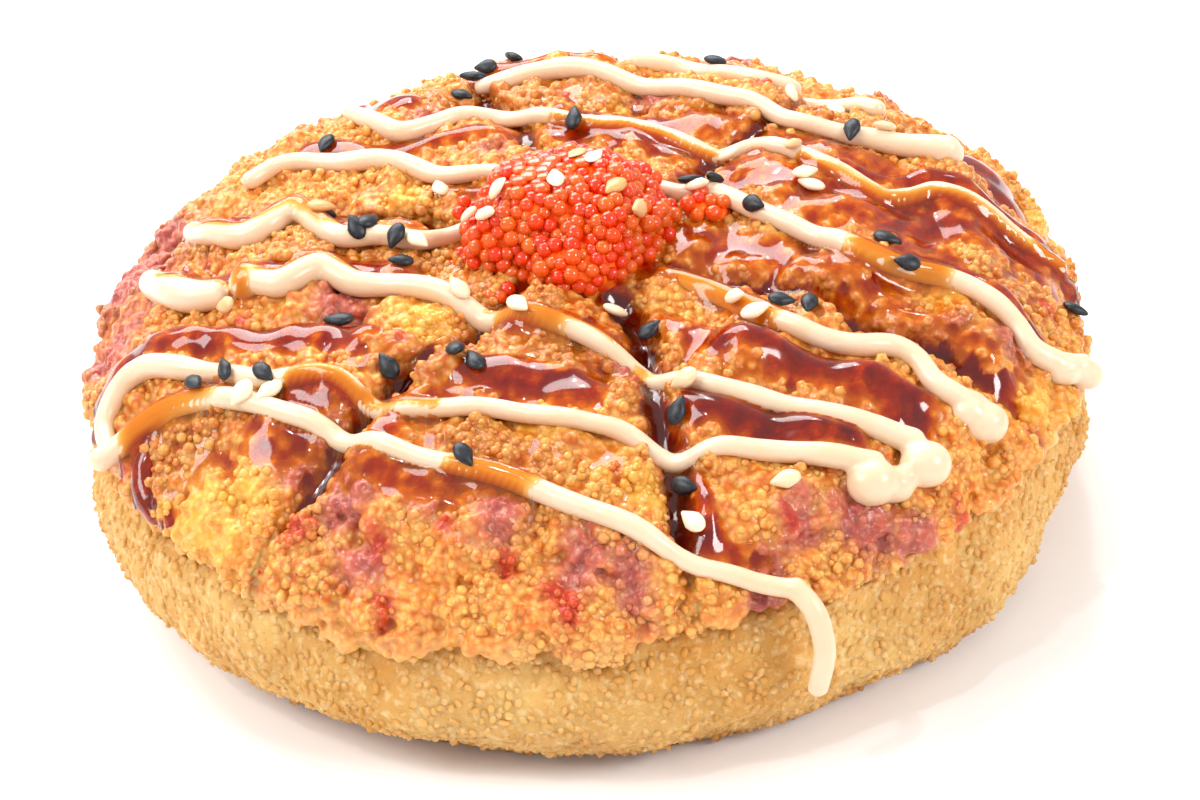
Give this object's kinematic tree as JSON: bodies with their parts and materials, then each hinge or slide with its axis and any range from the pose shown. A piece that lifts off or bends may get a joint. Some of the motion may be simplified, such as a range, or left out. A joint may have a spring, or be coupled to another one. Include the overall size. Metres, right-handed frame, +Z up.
{
  "type": "tuna sushi pizza",
  "caption": "Thick round fried rice cake under a low scored dome of crumbed tuna, with piped mayonnaise, glossy eel sauce, sesame seeds and a heap of orange fish roe.",
  "frame": {"origin": "middle of the rice cake's flat underside, on the surface it stands on", "axes": "+Z up through the heap of roe; the picture was taken from the -Y side, and +X is to its right"},
  "size_m": [0.1179, 0.1191, 0.046],
  "materials": {
    "fried_rice": "pale golden fried rice with a fine crisp crumb, browner along its low edge",
    "crumbed_tuna": "dusky pink tuna in golden fried crumbs, moist, with cream lines of mayonnaise and dark glossy sauce",
    "roe": "translucent orange-red fish eggs with sharp highlights"
  },
  "bodies": {
    "root": {"rice_base": "fried_rice", "tuna_topping": "crumbed_tuna", "tobiko_heap": "roe"}
  },
  "joints": []
}
